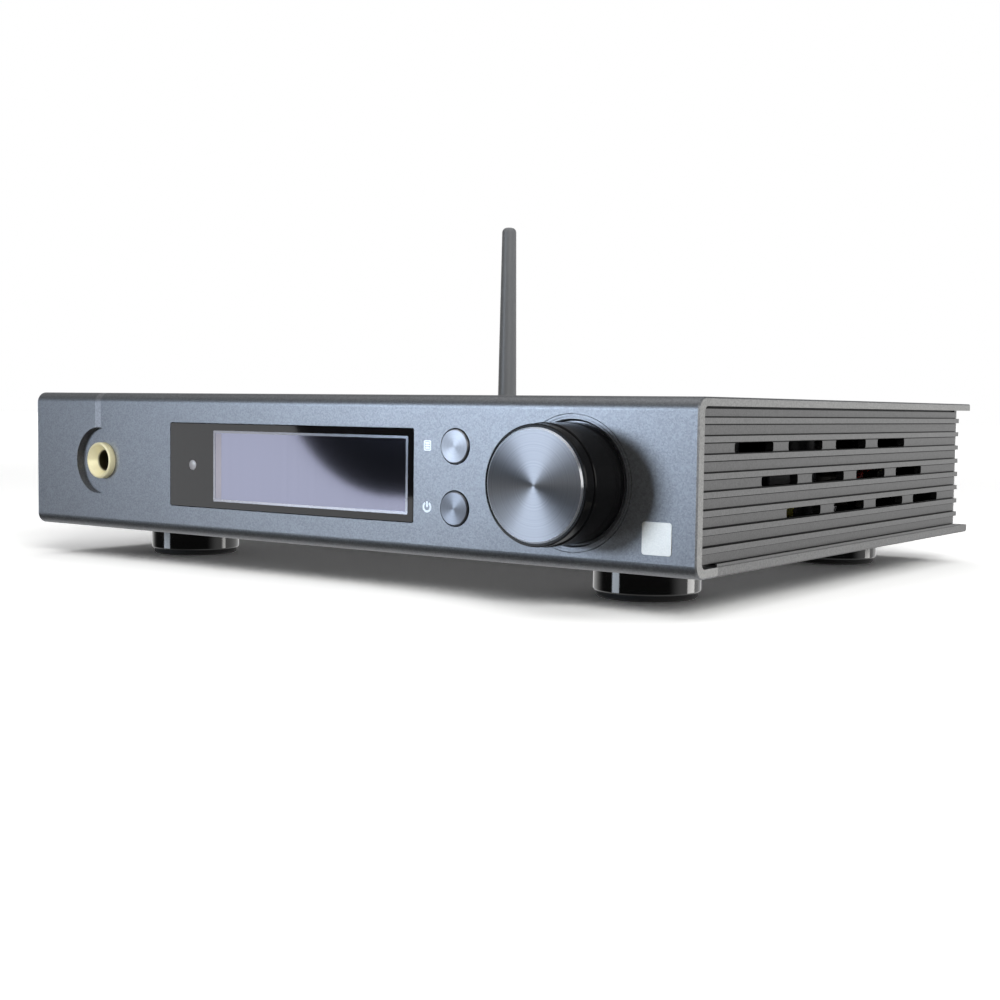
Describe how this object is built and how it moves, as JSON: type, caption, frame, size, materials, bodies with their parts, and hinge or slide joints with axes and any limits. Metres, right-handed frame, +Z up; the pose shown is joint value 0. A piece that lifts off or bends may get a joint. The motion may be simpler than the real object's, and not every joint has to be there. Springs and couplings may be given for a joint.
{
  "type": "integrated amplifier",
  "caption": "Low metal-cased integrated amplifier with a wrapped front, finned sides, display window, turned volume knob, push buttons, headphone socket, round feet and hinged antenna.",
  "frame": {"origin": "on the standing surface under the centre of the object's box, which is the centre of the case", "axes": "+X right as seen from the front, +Y to the rear, +Z up"},
  "size_m": [0.257, 0.2352, 0.1315],
  "materials": {
    "cover_metal": "fine bead-blasted, gunmetal anodised",
    "strip_metal": "satin, clear anodised",
    "side_metal": "satin extruded, grey anodised",
    "base_metal": "fine matt powder coat",
    "window_glass": "polished smoked panel, not see-through in daylight",
    "display_trim": "satin",
    "button_metal": "spun face, gunmetal anodised",
    "knob_metal": "polished, black anodised",
    "knob_face": "spun face with a bright chamfer",
    "gold_plate": "polished gold plate",
    "foot_gloss": "polished",
    "rubber": "matt",
    "steel": "plated",
    "circuit_board": "semi-gloss solder mask",
    "black_plastic": "fine satin",
    "terminal_plastic": "moulded, red or black",
    "winding": "tape and varnish",
    "component_case": "printed sleeve, left bare",
    "heat_sink": "extruded",
    "wire_insulation": "satin"
  },
  "bodies": {
    "case": {"accent_strip": "strip_metal", "amplifier_board": "circuit_board", "antenna_connector": "gold_plate", "antenna_socket": "gold_plate", "base_plate": "base_metal", "base_screws": "steel", "capacitors": "component_case", "cover_studs": "steel", "display_frame": "display_trim", "display_module": "black_plastic", "display_window": "window_glass", "encoder_body": "black_plastic", "encoder_nut": "steel", "foot_pads": "rubber", "foot_shells": "foot_gloss", "front_board": "circuit_board", "front_bracket": "steel", "headphone_bushing": "gold_plate", "headphone_jack": "black_plastic", "heatsinks": "heat_sink", "inductors": "winding", "integrated_circuits": "black_plastic", "ir_receiver": "black_plastic", "knob_trim_ring": "knob_face", "left_side_panel": "side_metal", "line_socket_bodies": "black_plastic", "line_sockets": "gold_plate", "main_board": "circuit_board", "mains_inlet": "black_plastic", "mains_inlet_pins": "gold_plate", "mains_wiring": "wire_insulation", "optical_socket": "black_plastic", "pan_head_screws": "steel", "power_supply_board": "circuit_board", "power_transformer": "winding", "rear_panel": "base_metal", "ribbon_cable": "wire_insulation", "right_side_panel": "side_metal", "speaker_post_collars": "black_plastic", "speaker_posts": "gold_plate", "speaker_wiring": "wire_insulation", "standoffs": "steel", "suppression_capacitor": "component_case", "tact_switches": "black_plastic", "usb_socket": "steel", "wireless_module": "heat_sink", "wrap_cover": "cover_metal"},
    "volume_knob": {"knob_body": "knob_metal", "knob_cap": "knob_face", "knob_set_screw": "steel", "encoder_shaft": "steel"},
    "mode_button": {"mode_button": "button_metal"},
    "power_button": {"power_button": "button_metal"},
    "mains_rocker": {"mains_rocker": "black_plastic"},
    "speaker_cap_1": {"speaker_cap_1": "terminal_plastic"},
    "speaker_cap_2": {"speaker_cap_2": "terminal_plastic"},
    "speaker_cap_3": {"speaker_cap_3": "terminal_plastic"},
    "speaker_cap_4": {"speaker_cap_4": "terminal_plastic"},
    "antenna_base": {"antenna_knuckle": "black_plastic"},
    "antenna_mast": {"antenna_sheath": "black_plastic"}
  },
  "joints": [
    {"name": "volume_turn", "type": "hinge", "parent": "case", "child": "volume_knob", "pos_m": [0.092, -0.10825, 0.033], "axis": [0, 1, 0], "continuous": true},
    {"name": "mode_button_press", "type": "slide", "parent": "case", "child": "mode_button", "axis": [0, 1, 0], "range_m": [0, 0.0005], "stiffness_N_per_m": 300},
    {"name": "power_button_press", "type": "slide", "parent": "case", "child": "power_button", "axis": [0, 1, 0], "range_m": [0, 0.0005], "stiffness_N_per_m": 300},
    {"name": "mains_rocker_tilt", "type": "hinge", "parent": "case", "child": "mains_rocker", "pos_m": [0.077, 0.09075, 0.033], "axis": [1, 0, 0], "range_deg": [0, 20]},
    {"name": "antenna_swivel", "type": "hinge", "parent": "case", "child": "antenna_base", "pos_m": [-0.0817, 0.11265, 0.0435], "axis": [0, 1, 0], "range_deg": [-90, 90]},
    {"name": "antenna_fold", "type": "hinge", "parent": "antenna_base", "child": "antenna_mast", "pos_m": [-0.0817, 0.11265, 0.0435], "axis": [-1, 0, 0], "range_deg": [0, 90]},
    {"name": "speaker_cap_1_turn", "type": "hinge", "parent": "case", "child": "speaker_cap_1", "pos_m": [0.009, 0.10375, 0.031], "axis": [0, 1, 0], "range_deg": [0, 1440]},
    {"name": "speaker_cap_2_turn", "type": "hinge", "parent": "case", "child": "speaker_cap_2", "pos_m": [0.0245, 0.10375, 0.031], "axis": [0, 1, 0], "range_deg": [0, 1440]},
    {"name": "speaker_cap_3_turn", "type": "hinge", "parent": "case", "child": "speaker_cap_3", "pos_m": [0.041, 0.10375, 0.031], "axis": [0, 1, 0], "range_deg": [0, 1440]},
    {"name": "speaker_cap_4_turn", "type": "hinge", "parent": "case", "child": "speaker_cap_4", "pos_m": [0.0565, 0.10375, 0.031], "axis": [0, 1, 0], "range_deg": [0, 1440]}
  ]
}
